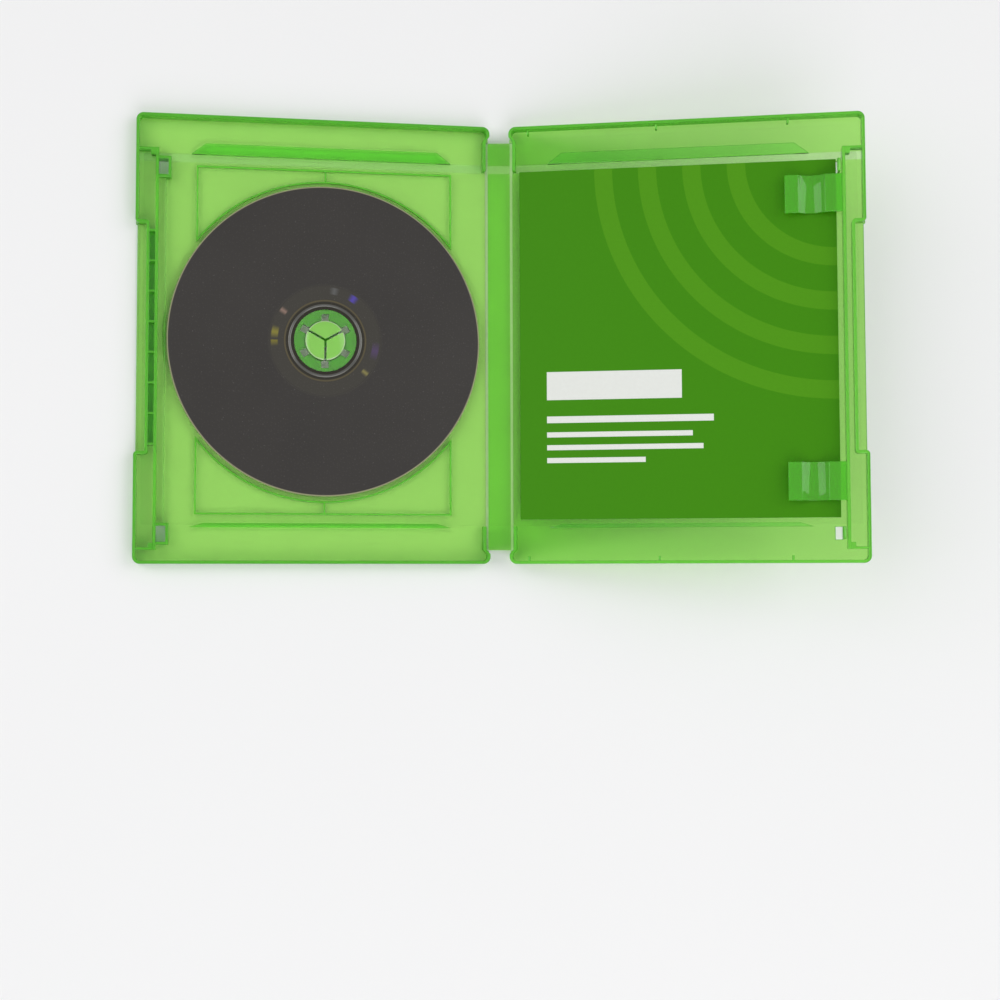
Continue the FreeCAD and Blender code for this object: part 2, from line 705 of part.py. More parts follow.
def make_leaflet():
    """The folded leaflet, which lies on the floor between the stop ledges and short of the latch tongues."""
    body = new_body("leaflet")
    section = new_sketch(body, "LeafletSection", "0", "XZ_Plane")
    left = "leaflet_hinge_inset"
    right = f"{TONGUE_BACK} - leaflet_edge_clearance"
    polygon(section, [
        (f"{left} + leaflet_fold_radius", FLOOR_TOP),
        (right, FLOOR_TOP),
        (right, LEAFLET_TOP),
        (f"{left} + leaflet_fold_radius", LEAFLET_TOP),
        (left, f"{LEAFLET_TOP} - leaflet_fold_radius"),
        (left, f"{FLOOR_TOP} + leaflet_fold_radius"),
    ])
    pad(body, "FoldedSheet", section, f"2 * ({HALF} - stop_bottom_end - leaflet_end_clearance)", middle=True)
    place_in_leaflet_cover(body)
    return body


def make_film(label, left, right, outer_face):
    """One panel of the clear film sleeve, which fills its recess flush with the outer face."""
    body = new_body(label)
    plan = new_sketch(body, "FilmPlan", outer_face)
    rectangle(plan, left, right, f"{FILM_BOTTOM} + film_clearance", f"{FILM_TOP} - film_clearance")
    pad(body, "Film", plan, "film_thickness")
    return body


def make_films():
    """The film sleeve, which wraps the disc cover, the spine and the leaflet cover."""
    seat = f"{HINGE_SEAT} + film_clearance"
    edge = "cover_width - film_edge_inset - film_clearance"
    disc_side = make_film("disc_side_film", along_left(edge), along_left(seat), "0")
    back = make_film("spine_film", "hinge_height + film_clearance",
                     f"{SPINE_SPAN} - hinge_height - film_clearance", "-hinge_height")
    place_on_spine(back)
    leaflet_side = make_film("leaflet_side_film", along_right(seat), along_right(edge), "0")
    place_in_leaflet_cover(leaflet_side)
    return [disc_side, back, leaflet_side]


sub_parts = [make_disc_cover(), make_spine(), make_leaflet_cover(), make_disc()]
document.recompute()
sub_parts += [make_petal(index) for index in range(int(number("petal_count")))]
sub_parts.append(make_leaflet())
sub_parts += make_films()
document.recompute()

for item in document.Objects:
    if "Invalid" in item.State or "Error" in item.State:
        raise RuntimeError(f"{item.Label} did not build: {item.State}")
for part in sub_parts:
    if part.Shape.isNull() or not part.Shape.isValid() or len(part.Shape.Solids) != 1:
        raise RuntimeError(f"{part.Label} is not one valid solid")

os.makedirs("parts", exist_ok=True)
for part in sub_parts:
    part.Shape.exportStep(f"parts/{part.Label}.step")
    box = part.Shape.BoundBox
    span = " x ".join(f"{side:.2f}" for side in (box.XLength, box.YLength, box.ZLength))
    print(f"{part.Label}: {part.Shape.Volume:.1f} mm3, {span}")
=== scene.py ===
"""Looks of an open disc case: clear green mouldings, a dark disc, a printed leaflet and a film sleeve.

Shapes are in metres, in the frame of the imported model. Places and widths of a finish's patterns are in
millimetres. The disc cover lies flat on z = 0 with the disc's axis on the origin, and the spine and the
leaflet cover are raised about two hinge lines that run along Y.
"""

import json
import logging
import math
from dataclasses import dataclass
from enum import Enum, IntEnum
from typing import Any, Iterator

import bmesh
import bpy
from bmesh.types import BMEdge, BMesh, BMFace
from mathutils import Matrix, Vector
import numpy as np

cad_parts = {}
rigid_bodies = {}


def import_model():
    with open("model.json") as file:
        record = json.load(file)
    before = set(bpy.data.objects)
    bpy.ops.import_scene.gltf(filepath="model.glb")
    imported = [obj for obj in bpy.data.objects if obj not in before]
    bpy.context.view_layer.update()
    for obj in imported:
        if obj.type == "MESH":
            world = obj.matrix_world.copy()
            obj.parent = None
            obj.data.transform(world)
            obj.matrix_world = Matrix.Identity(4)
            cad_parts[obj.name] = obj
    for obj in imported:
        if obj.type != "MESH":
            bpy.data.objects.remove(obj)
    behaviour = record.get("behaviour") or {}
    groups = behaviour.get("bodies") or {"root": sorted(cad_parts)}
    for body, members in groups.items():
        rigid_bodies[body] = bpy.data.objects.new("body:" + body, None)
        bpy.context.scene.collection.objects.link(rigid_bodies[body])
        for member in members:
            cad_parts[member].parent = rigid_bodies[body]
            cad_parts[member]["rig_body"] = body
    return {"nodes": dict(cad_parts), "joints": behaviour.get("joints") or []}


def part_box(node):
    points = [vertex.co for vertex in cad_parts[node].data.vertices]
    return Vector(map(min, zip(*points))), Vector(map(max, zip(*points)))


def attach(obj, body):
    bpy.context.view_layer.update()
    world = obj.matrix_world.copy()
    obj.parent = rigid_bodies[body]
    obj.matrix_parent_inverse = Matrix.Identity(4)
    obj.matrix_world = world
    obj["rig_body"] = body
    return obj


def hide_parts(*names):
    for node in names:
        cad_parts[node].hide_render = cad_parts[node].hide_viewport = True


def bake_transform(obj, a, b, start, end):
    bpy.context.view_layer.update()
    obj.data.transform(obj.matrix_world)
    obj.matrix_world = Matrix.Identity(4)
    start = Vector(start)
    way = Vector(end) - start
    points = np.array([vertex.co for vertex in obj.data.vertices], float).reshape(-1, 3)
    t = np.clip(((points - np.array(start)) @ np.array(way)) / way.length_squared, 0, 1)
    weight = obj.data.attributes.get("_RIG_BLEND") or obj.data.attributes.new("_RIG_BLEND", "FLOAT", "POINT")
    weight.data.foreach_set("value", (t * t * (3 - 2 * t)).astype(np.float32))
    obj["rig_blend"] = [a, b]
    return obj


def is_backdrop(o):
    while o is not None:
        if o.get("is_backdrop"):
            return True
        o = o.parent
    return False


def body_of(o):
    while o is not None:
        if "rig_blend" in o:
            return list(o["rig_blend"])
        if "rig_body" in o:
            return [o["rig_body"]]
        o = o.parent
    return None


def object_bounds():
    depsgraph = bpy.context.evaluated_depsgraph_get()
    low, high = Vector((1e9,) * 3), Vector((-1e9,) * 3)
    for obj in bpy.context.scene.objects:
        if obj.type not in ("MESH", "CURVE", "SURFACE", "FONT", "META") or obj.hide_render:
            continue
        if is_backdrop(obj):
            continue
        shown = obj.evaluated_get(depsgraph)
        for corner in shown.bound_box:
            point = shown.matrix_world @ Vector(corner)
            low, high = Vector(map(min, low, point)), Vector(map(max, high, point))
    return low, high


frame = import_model()
CAD_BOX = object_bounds()
MM = 0.001
MERGE_DISTANCE = 0.002 * MM
FLAT_ANGLE = math.radians(0.5)
SMOOTH_ANGLE = math.radians(32.0)
CREASE_ANGLE = math.radians(40.0)
WIDE_FACE = 40 * MM * MM
ALONG_AXIS = 0.99
EASED_SEGMENTS = 2
SPECK_CORE = 0.4
CHANCE_BLUR = 0.1

Triple = tuple[float, float, float]
Colour = Triple
Span = tuple[float, float]
BLACK: Colour = (0.0, 0.0, 0.0)
log = logging.getLogger("disc_case")


class Body(Enum):
    """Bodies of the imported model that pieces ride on."""

    DISC_COVER = "disc_cover"
    SPINE = "spine"
    LEAFLET_COVER = "leaflet_cover"


class Slot(Enum):
    """Material slots of the record."""

    PLASTIC = "case_plastic"
    FILM = "sleeve_film"
    DISC = "disc_surface"
    LEAFLET = "leaflet_card"


class Patch(IntEnum):
    """Material numbers of a cover's faces, in the order of its plastics."""

    FLOOR = 0
    # Painted shade: faces that take the deeper wall plastic.
    SHADED_DEEP = 1
    # Painted shade: the stops' tops, which take a deeper green.
    SHADED_LEDGE = 2
    # Painted light: the clips, which take a lit, cloudier copy of the plastic.
    LIT_CLIP = 3


class Tint(Enum):
    """Greens of the case's one plastic; the disc cover's is its own. All but the hinge webs' are painted
    copies: deeper as painted shade on walls and ledges, where it is thick in the line of sight, and on the
    leaflet cover and spine; cloudier lit copies as painted light on the clips and hub; paler as painted
    highlight on the hub's edges and painted glow over the film's hem.
    """

    DISC_COVER = (0.61, 0.905, 0.37)
    # Painted shade: a deeper copy of the disc cover's green.
    LEAFLET_COVER = (0.43, 0.855, 0.19)
    # Painted shade: a deeper copy of the disc cover's green.
    SPINE = (0.42, 0.836, 0.2)
    # Painted shade: a deeper copy for upright walls, rib crests and the hub's seat, seen through their
    # length.
    SHADED_WALL = (0.13, 0.62, 0.035)
    # Painted shade: a deeper copy of the green for the stops' wide tops.
    SHADED_LEDGE = (0.2, 0.78, 0.08)
    # Painted light: the clips' own green with a cloudy share, a lit copy standing in for the reflections on
    # them.
    LIT_CLIP = (0.17, 0.76, 0.04)
    # Painted light: a cloudier copy of the green so that the lamps light the hub brightly from above.
    LIT_PETAL = (0.36, 0.84, 0.15)
    # Painted highlight: a paler green on the petals' upright edges.
    PETAL_HIGHLIGHT = (0.62, 0.93, 0.44)
    WEB = (0.82, 0.96, 0.71)
    # Painted light: the paler band over the film's hem, standing in for the hem's glow.
    HEM_GLOW = (0.62, 0.9, 0.44)


def rgba(colour: Colour) -> tuple[float, float, float, float]:
    """Gives a colour socket's four numbers."""
    return (*colour, 1.0)


class Shade:
    """A number that changes over a surface, so that shader maths reads as Python arithmetic."""

    def __init__(self, graph: "Graph", socket: bpy.types.NodeSocket) -> None:
        """Keeps the socket that gives the number, and its graph."""
        self.graph = graph
        self.socket = socket

    def maths(self, operation: str, *terms: "Shade | float") -> "Shade":
        """Adds a Math node.

        Args:
            operation: the Math node's operation.
            terms: its inputs in order.

        Returns:
            The node's result.
        """
        node = self.graph.node("Math", {"operation": operation}, dict(enumerate(terms)))
        return Shade(self.graph, node.outputs[0])

    def __add__(self, other: "Shade | float") -> "Shade":
        """Sum of two numbers."""
        return self.maths("ADD", self, other)

    def __radd__(self, other: float) -> "Shade":
        """Sum with a plain number first."""
        return self.maths("ADD", other, self)

    def __sub__(self, other: "Shade | float") -> "Shade":
        """Difference of two numbers."""
        return self.maths("SUBTRACT", self, other)

    def __rsub__(self, other: float) -> "Shade":
        """Difference from a plain number."""
        return self.maths("SUBTRACT", other, self)

    def __mul__(self, other: "Shade | float") -> "Shade":
        """Product of two numbers."""
        return self.maths("MULTIPLY", self, other)

    def __rmul__(self, other: float) -> "Shade":
        """Product with a plain number first."""
        return self.maths("MULTIPLY", other, self)

    def __truediv__(self, other: "Shade | float") -> "Shade":
        """Quotient of two numbers."""
        return self.maths("DIVIDE", self, other)

    def away(self, up: "Shade") -> "Shade":
        """Distance from the origin of a place this far across and so far up."""
        return self.maths("SQRT", self * self + up * up)

    def turn(self, up: "Shade") -> "Shade":
        """Way round the origin, from 0 to 1, of a place this far across and so far up."""
        return self.maths("ARCTAN2", up, self) / math.tau + 0.5

    def rise(self, low: float, high: float) -> "Shade":
        """A mask that climbs smoothly from 0 at low to 1 at high.

        Args:
            low: value below which the mask is 0.
            high: value above which the mask is 1.

        Returns:
            The mask.
        """
        node = self.graph.node("MapRange", {"interpolation_type": "SMOOTHSTEP"},
                               {"Value": self, "From Min": low, "From Max": high})
        return Shade(self.graph, node.outputs[0])

    def within(self, low: float, high: float, blur: float) -> "Shade":
        """A mask that is 1 between two values.

        Args:
            low: where the mask starts.
            high: where the mask ends.
            blur: width of its soft edges.

        Returns:
            The mask.
        """
        half = blur / 2
        return self.rise(low - half, low + half) * (1 - self.rise(high - half, high + half))


class Graph:
    """The node tree of one material or world, with one method that adds nodes."""

    def __init__(self, tree: bpy.types.NodeTree) -> None:
        """Empties the tree and keeps it."""
        self.tree = tree
        tree.nodes.clear()

    def node(self, kind: str, settings: dict[str, Any] | None = None,
             inputs: dict[str | int, Any] | None = None) -> bpy.types.Node:
        """Adds a node.

        Args:
            kind: the node's type, without the words that every shader node's type starts with.
            settings: the node's own settings, set first; stops are a ramp's places and colours.
            inputs: values of its sockets, or what is linked to them.

        Returns:
            The new node.
        """
        made = self.tree.nodes.new(f"ShaderNode{kind}")
        for name, value in (settings or {}).items():
            if name == "stops":
                self.set_stops(made.color_ramp, value)
            else:
                setattr(made, name, value)
        for key, value in (inputs or {}).items():
            source = value.socket if isinstance(value, Shade) else value
            if isinstance(source, bpy.types.NodeSocket):
                self.tree.links.new(source, made.inputs[key])
            else:
                made.inputs[key].default_value = source
        return made

    @staticmethod
    def set_stops(ramp: bpy.types.ColorRamp, stops: list[tuple[float, Colour]]) -> None:
        """Gives a colour ramp its stops.

        Args:
            ramp: the ramp of a new node, which has two stops.
            stops: two or more places from 0 to 1, in order, with their colours.
        """
        while len(ramp.elements) < len(stops):
            ramp.elements.new(1.0)
        for element, (place, colour) in zip(ramp.elements, stops):
            element.position = place
            element.color = rgba(colour)

    def place(self, layout: "PanelFrame | None" = None) -> bpy.types.NodeSocket:
        """Gives a point's place on the piece.

        Args:
            layout: the panel's frame that the place is measured in, or None for the model's frame.

        Returns:
            A vector socket, in metres.
        """
        place = self.node("TexCoord").outputs["Object"]
        if layout is None:
            return place
        turned = self.node("Mapping", {"vector_type": "TEXTURE"}, {
            "Vector": place, "Location": layout.origin, "Rotation": (0.0, -layout.angle, 0.0)})
        return turned.outputs[0]

    def axes(self, vector: bpy.types.NodeSocket) -> tuple[Shade, Shade, Shade]:
        """Splits a vector into its three numbers, in millimetres."""
        node = self.node("SeparateXYZ", None, {0: vector})
        return tuple(Shade(self, socket) / MM for socket in node.outputs)

    def stretched(self, vector: bpy.types.NodeSocket, turn: float, scale: Triple) -> bpy.types.NodeSocket:
        """Turns a vector about Z and scales it, so that a pattern made from it runs in streaks.

        Args:
            vector: the vector to change.
            turn: angle about Z in radians.
            scale: factors along the three axes.

        Returns:
            The changed vector.
        """
        turned = self.node("Mapping", None, {"Vector": vector, "Rotation": (0.0, 0.0, turn)})
        return self.node("Mapping", None, {"Vector": turned.outputs[0], "Scale": scale}).outputs[0]

    def noise(self, vector: bpy.types.NodeSocket, scale: float, detail: float = 2.0) -> Shade:
        """A cloudy pattern from 0 to 1.

        Args:
            vector: where the pattern is read.
            scale: clouds to a metre.
            detail: how many finer layers it has.

        Returns:
            The pattern.
        """
        node = self.node("TexNoise", None, {"Vector": vector, "Scale": scale, "Detail": detail})
        return Shade(self, node.outputs[0])

    def specks(self, vector: bpy.types.NodeSocket, scale: float, reach: float, share: float) -> Shade:
        """Small round specks, one to some of the cells of a random net.

        Args:
            vector: where the pattern is read.
            scale: cells to a metre.
            reach: radius of a speck as a share of a cell.
            share: share of the cells that are left empty.

        Returns:
            A mask that is 1 on the specks.
        """
        cells = self.node("TexVoronoi", {"voronoi_dimensions": "2D"}, {"Vector": vector, "Scale": scale})
        chance = self.node("SeparateColor", None, {0: cells.outputs["Color"]})
        spot = 1 - Shade(self, cells.outputs["Distance"]).rise(SPECK_CORE * reach, reach)
        return spot * Shade(self, chance.outputs[0]).rise(share, share + CHANCE_BLUR)

    def mix(self, share: Shade | float, below: Any, above: Any) -> bpy.types.NodeSocket:
        """Blends two colours.

        Args:
            share: how much of the second colour shows.
            below: first colour, as numbers or a socket.
            above: second colour, as numbers or a socket.

        Returns:
            The blended colour.
        """
        first, second = (rgba(item) if isinstance(item, tuple) else item for item in (below, above))
        return self.node("Mix", {"data_type": "RGBA"}, {0: share, 6: first, 7: second}).outputs[2]

    def relief(self, height: Shade, depth: float) -> bpy.types.NodeSocket:
        """Turns a pattern into a bump.

        Args:
            height: the pattern.
            depth: its depth in metres.

        Returns:
            A normal for the shader.
        """
        return self.node("Bump", None, {"Height": height, "Distance": depth, "Strength": 1.0}).outputs[0]


@dataclass(frozen=True)
class Finish:
    """A surface finish; each kind says what goes into the shader's sockets."""

    name: str

    def surface(self, graph: Graph) -> dict[str, Any]:
        """Values and links for the shader's sockets."""
        raise NotImplementedError

    def material(self) -> bpy.types.Material:
        """Makes the material."""
        made = bpy.data.materials.new(self.name)
        made.use_nodes = True
        graph = Graph(made.node_tree)
        shader = graph.node("BsdfPrincipled", None, self.surface(graph))
        graph.node("OutputMaterial", None, {"Surface": shader.outputs[0]})
        return made


@dataclass(frozen=True)
class ClearPlastic(Finish):
    """Tinted moulding plastic, see-through or a little cloudy, glossy with a slightly uneven skin."""

    tint: Tint
    clearness: float = 1.0
    roughness: float = 0.03
    unevenness: float = 0.05
    ior: float = 1.49
    cloud_scale: float = 55.0
    cloud_shade: float = 0.95
    ripple_scale: float = 420.0
    ripple_depth: float = 0.002 * MM
    # Painted light: the tint is made paler over the film's hem, a painted glow of the hem.
    hem_glow_band: Span | None = None
    hem_glow_tint: Tint = Tint.HEM_GLOW
    hem_glow_blur: float = 0.3

    def surface(self, graph: Graph) -> dict[str, Any]:
        """Clouds the gloss and the tint a little, ripples the skin and paints it paler over the film's hem,
        a painted glow of the hem seen through it.
        """
        place = graph.place()
        clouds = graph.noise(place, self.cloud_scale)
        ripple = graph.noise(place, self.ripple_scale)
        darker = tuple(self.cloud_shade * part for part in self.tint.value)
        colour = graph.mix(clouds, self.tint.value, darker)
        # Paints the glow of the film's hem into the plastic as a paler band.
        if self.hem_glow_band is not None:
            _, up, _ = graph.axes(place)
            hem = up.within(*self.hem_glow_band, self.hem_glow_blur)
            colour = graph.mix(hem, colour, self.hem_glow_tint.value)
        return {
            "Base Color": colour,
            "Roughness": self.roughness + self.unevenness * clouds,
            "IOR": self.ior,
            "Transmission Weight": self.clearness,
            "Normal": graph.relief(ripple, self.ripple_depth),
        }


@dataclass(frozen=True)
class ClearDisc(Finish):
    """The disc's uncoated middle."""

    tint: Colour = (0.93, 0.95, 0.88)
    roughness: float = 0.04
    ior: float = 1.58
    scuff_scale: float = 900.0
    scuff_detail: float = 4.0
    scuff_range: Span = (0.45, 0.75)
    scuff_roughness: float = 0.08

    def surface(self, graph: Graph) -> dict[str, Any]:
        """Clear plastic with a trace of fine scuffs."""
        scuffs = graph.noise(graph.place(), self.scuff_scale, self.scuff_detail)
        return {
            "Base Color": rgba(self.tint),
            "Roughness": self.roughness + self.scuff_roughness * scuffs.rise(*self.scuff_range),
            "IOR": self.ior,
            "Transmission Weight": 1.0,
        }


@dataclass(frozen=True)
class PaintedGlint:
    """A painted glint in the mirror band: its way round the disc and half its length, from 0 to 1, and its
    colour.
    """

    turn: float
    half: float
    colour: Colour


@dataclass(frozen=True)
class Dust:
    """One sort of dust: cells to a metre, a speck's reach in its cell, the empty share and its strength."""

    scale: float
    reach: float
    empty: float
    strength: float


@dataclass(frozen=True)
class DiscLabel(Finish):
    """The disc's dark upper face: a mirror band with painted glints, a painted highlight on the ridge, a
    gold line that is partly a painted glint, satin lacquer with dust and hairlines, and a pale rim that is
    partly a painted highlight.
    """

    lacquer: Colour = (0.029, 0.026, 0.024)
    haze: Colour = (0.035, 0.031, 0.028)
    inner: Colour = (0.026, 0.023, 0.015)
    # Painted highlight: a pale grey ring on the stacking ridge.
    ridge: Colour = (0.12, 0.12, 0.11)
    # Partly painted glint: a gold line at the edge between the inner ring and the mirror band.
    gold_edge_glint: Colour = (0.16, 0.13, 0.06)
    band: Colour = (0.056, 0.052, 0.044)
    dust: Colour = (0.22, 0.21, 0.2)
    # Partly painted highlight: the disc's clear edge painted as a pale line, with the bright line of light
    # along it.
    rim: Colour = (0.29, 0.29, 0.17)
    ridge_highlight_range: Span = (13.2, 14.2)
    ridge_highlight_blur: float = 0.2
    inner_end: Span = (14.0, 16.5)
    gold_edge_glint_range: Span = (15.2, 15.8)
    gold_edge_glint_blur: float = 0.3
    gold_edge_glint_share: float = 0.5
    glint_range: Span = (18.2, 20.8)
    glint_blur: float = 0.6
    band_end: Span = (20.5, 22.5)
    rim_and_highlight_start: Span = (59.35, 59.65)
    cloud_scale: float = 30.0
    cloud_detail: float = 3.0
    # Painted glints: small coloured patches set round the mirror band.
    glints: tuple[PaintedGlint, ...] = (
        PaintedGlint(0.0, 0.02, (0.22, 0.19, 0.03)),
        PaintedGlint(0.394, 0.009, (0.26, 0.23, 0.08)),
        PaintedGlint(0.47, 0.03, (0.09, 0.06, 0.13)),
        PaintedGlint(0.658, 0.015, (0.1, 0.07, 0.45)),
        PaintedGlint(0.722, 0.015, (0.12, 0.12, 0.12)),
        PaintedGlint(0.903, 0.01, (0.3, 0.2, 0.16)),
        PaintedGlint(0.975, 0.02, (0.26, 0.23, 0.04)),
    )
    dusts: tuple[Dust, ...] = (Dust(800.0, 0.16, 0.35, 0.12), Dust(260.0, 0.05, 0.75, 0.4))
    hairline_turns: tuple[float, ...] = (0.5, 1.75)
    hairline_scale: Triple = (1300.0, 60.0, 0.0)
    hairline_range: Span = (0.76, 0.8)
    hairline_strength: float = 0.05
    roughness: float = 0.3
    cloud_roughness: float = 0.12
    band_polish: float = 0.16
    metal_share: float = 0.2
    ior: float = 1.5

    def glint_colours(self, graph: Graph, turn: Shade) -> bpy.types.NodeSocket:
        """Colours of the painted glints that stand here and there in the mirror band.

        Args:
            graph: the material's graph.
            turn: way round the disc, from 0 to 1.

        Returns:
            The band's colour.
        """
        stops = []
        for glint in self.glints:
            start, end = glint.turn - glint.half, glint.turn + glint.half
            stops += [(start, self.band), (glint.turn, glint.colour), (end, self.band)]
        # The first painted glint lies on the start of the turn, so the ramp begins with its colour.
        return graph.node("ValToRGB", {"stops": stops[1:]}, {0: turn}).outputs[0]

    def wear(self, graph: Graph, place: bpy.types.NodeSocket) -> Shade:
        """Dust and hairlines.

        Args:
            graph: the material's graph.
            place: where the patterns are read.

        Returns:
            How much of the dust's colour shows.
        """
        specks = sum((dust.strength * graph.specks(place, dust.scale, dust.reach, dust.empty)
                      for dust in self.dusts), start=0.0)
        streaks = [graph.stretched(place, turn, self.hairline_scale) for turn in self.hairline_turns]
        hairlines = sum((graph.noise(streak, 1.0, 1.0).rise(*self.hairline_range) for streak in streaks),
                        start=0.0)
        return specks + self.hairline_strength * hairlines

    def surface(self, graph: Graph) -> dict[str, Any]:
        """Paints the face by radius, with painted glints and highlights, and adds dust and hairlines."""
        place = graph.place()
        across, up, _ = graph.axes(place)
        radius = across.away(up)
        middle = 1 - radius.rise(*self.band_end)
        # Painted highlight: the ridge is painted paler and a little metallic.
        ridge = radius.within(*self.ridge_highlight_range, self.ridge_highlight_blur)
        # The gold line at the band's edge, partly a painted glint.
        gold_edge_glint = self.gold_edge_glint_share * radius.within(*self.gold_edge_glint_range, self.gold_edge_glint_blur)
        # Painted glints in the mirror band.
        glinting = radius.within(*self.glint_range, self.glint_blur)
        clouds = graph.noise(place, self.cloud_scale, self.cloud_detail)
        colour = graph.mix(radius.rise(*self.inner_end), self.inner, self.band)
        colour = graph.mix(gold_edge_glint, colour, self.gold_edge_glint)
        colour = graph.mix(glinting, colour, self.glint_colours(graph, across.turn(up)))
        colour = graph.mix(ridge, colour, self.ridge)
        colour = graph.mix(middle, graph.mix(clouds, self.lacquer, self.haze), colour)
        colour = graph.mix(self.wear(graph, place), colour, self.dust)
        # The pale rim is partly the clear edge and partly a painted highlight.
        return {
            "Base Color": graph.mix(radius.rise(*self.rim_and_highlight_start), colour, self.rim),
            "Roughness": self.roughness + self.cloud_roughness * clouds - self.band_polish * middle,
            "Metallic": self.metal_share * middle + self.metal_share * ridge,
            "IOR": self.ior,
        }


@dataclass(frozen=True)
class DiscMirror(Finish):
    """The disc's read side: a bright coating with a painted rainbow sheen round the disc."""

    # Painted sheen: rainbow colours of the read side, set by the way round the disc.
    colours: tuple[Colour, ...] = (
        (0.4, 0.36, 0.45), (0.32, 0.42, 0.46), (0.44, 0.42, 0.34),
        (0.36, 0.34, 0.48), (0.4, 0.44, 0.4), (0.4, 0.36, 0.45),
    )
    metallic: float = 0.9
    roughness: float = 0.16

    def surface(self, graph: Graph) -> dict[str, Any]:
        """Runs the painted sheen's colours evenly round the disc."""
        across, up, _ = graph.axes(graph.place())
        last = len(self.colours) - 1
        stops = [(step / last, colour) for step, colour in enumerate(self.colours)]
        painted_sheen = graph.node("ValToRGB", {"stops": stops}, {0: across.turn(up)}).outputs[0]
        return {"Base Color": painted_sheen, "Metallic": self.metallic, "Roughness": self.roughness}


@dataclass(frozen=True)
class PlainBar:
    """A bar of print: its low corner and its high corner on the leaflet, in millimetres."""

    left: float
    low: float
    right: float
    high: float


@dataclass(frozen=True)
class LeafletPrint(Finish):
    """The leaflet's printed face: green with paler rings from one corner and plain white bars."""

    layout: "PanelFrame"
    green: Colour = (0.052, 0.262, 0.001)
    pale_green: Colour = (0.08, 0.315, 0.005)
    white: Colour = (0.82, 0.84, 0.8)
    ring_centre: tuple[float, float] = (124.9, 68.5)
    ring_start: float = 34.0
    ring_pitch: float = 17.0
    ring_width: float = 7.0
    ring_count: int = 4
    bars: tuple[PlainBar, ...] = (
        PlainBar(14.0, -22.0, 66.0, -11.0),
        PlainBar(14.0, -31.0, 78.0, -28.4),
        PlainBar(14.0, -36.6, 70.0, -34.6),
        PlainBar(14.0, -41.6, 74.0, -39.6),
        PlainBar(14.0, -46.6, 52.0, -44.6),
    )
    blur: float = 0.12
    fibre_scale: float = 700.0
    fibre_detail: float = 3.0
    fibre_shade: float = 0.06
    fibre_depth: float = 0.004 * MM
    roughness: float = 0.4
    fibre_roughness: float = 0.1
    specular_level: float = 0.15

    def bar_mask(self, across: Shade, up: Shade, bar: PlainBar) -> Shade:
        """A mask that is 1 on a bar of print."""
        return across.within(bar.left, bar.right, self.blur) * up.within(bar.low, bar.high, self.blur)

    def surface(self, graph: Graph) -> dict[str, Any]:
        """Lays the print on coated paper."""
        place = graph.place(self.layout)
        across, up, _ = graph.axes(place)
        fibres = graph.noise(place, self.fibre_scale, self.fibre_detail)
        away = (across - self.ring_centre[0]).away(up - self.ring_centre[1])
        starts = [self.ring_start + step * self.ring_pitch for step in range(self.ring_count)]
        rings = sum((away.within(start, start + self.ring_width, self.blur) for start in starts), start=0.0)
        colour = graph.mix(rings, self.green, self.pale_green)
        white = sum((self.bar_mask(across, up, bar) for bar in self.bars), start=0.0)
        colour = graph.mix(white, colour, self.white)
        darker = graph.mix(self.fibre_shade, colour, BLACK)
        return {
            "Base Color": graph.mix(fibres, colour, darker),
            "Roughness": self.roughness + self.fibre_roughness * fibres,
            "Specular IOR Level": self.specular_level,
            "Normal": graph.relief(fibres, self.fibre_depth),
        }


@dataclass(frozen=True)
class PaperEdge(Finish):
    """The leaflet's cut edges and its back."""

    paper: Colour = (0.7, 0.74, 0.66)
    shade: Colour = (0.58, 0.64, 0.54)
    fibre_scale: float = 900.0
    fibre_detail: float = 3.0
    roughness: float = 0.6
    fibre_roughness: float = 0.1

    def surface(self, graph: Graph) -> dict[str, Any]:
        """Bare paper with fibres."""
        fibres = graph.noise(graph.place(), self.fibre_scale, self.fibre_detail)
        return {
            "Base Color": graph.mix(fibres, self.paper, self.shade),
            "Roughness": self.roughness + self.fibre_roughness * fibres,
        }


@dataclass(frozen=True)
class SleeveFilm(Finish):
    """Clear film with a cloudy welded hem along its top edge."""

    hem_top: float
    hem_height: float = 3.2
    haze: float = 0.025
    hem_haze: float = 0.12
    tone: Colour = (0.9, 0.93, 0.9)
    hem_spill: float = 1.0
    hem_blur: float = 0.3
    wave_scale: float = 25.0
    roughness: float = 0.12
    wave_roughness: float = 0.12

    def surface(self, graph: Graph) -> dict[str, Any]:
        """Makes the film nearly clear and its hem cloudy."""
        place = graph.place()
        _, up, _ = graph.axes(place)
        hem = up.within(self.hem_top - self.hem_height, self.hem_top + self.hem_spill, self.hem_blur)
        waves = graph.noise(place, self.wave_scale)
        return {
            "Base Color": rgba(self.tone),
            "Roughness": self.roughness + self.wave_roughness * waves,
            "Alpha": self.haze + (self.hem_haze - self.haze) * hem,
        }


@dataclass(frozen=True)
class PaleFloor(Finish):
    """The pale floor below the case."""

    tone: Colour = (0.9, 0.9, 0.905)
    cloud_scale: float = 6.0
    cloud_shade: float = 0.985
    roughness: float = 0.75

    def surface(self, graph: Graph) -> dict[str, Any]:
        """A matt floor with the faintest clouds."""
        clouds = graph.noise(graph.place(), self.cloud_scale)
        darker = tuple(self.cloud_shade * part for part in self.tone)
        return {"Base Color": graph.mix(clouds, self.tone, darker), "Roughness": self.roughness}


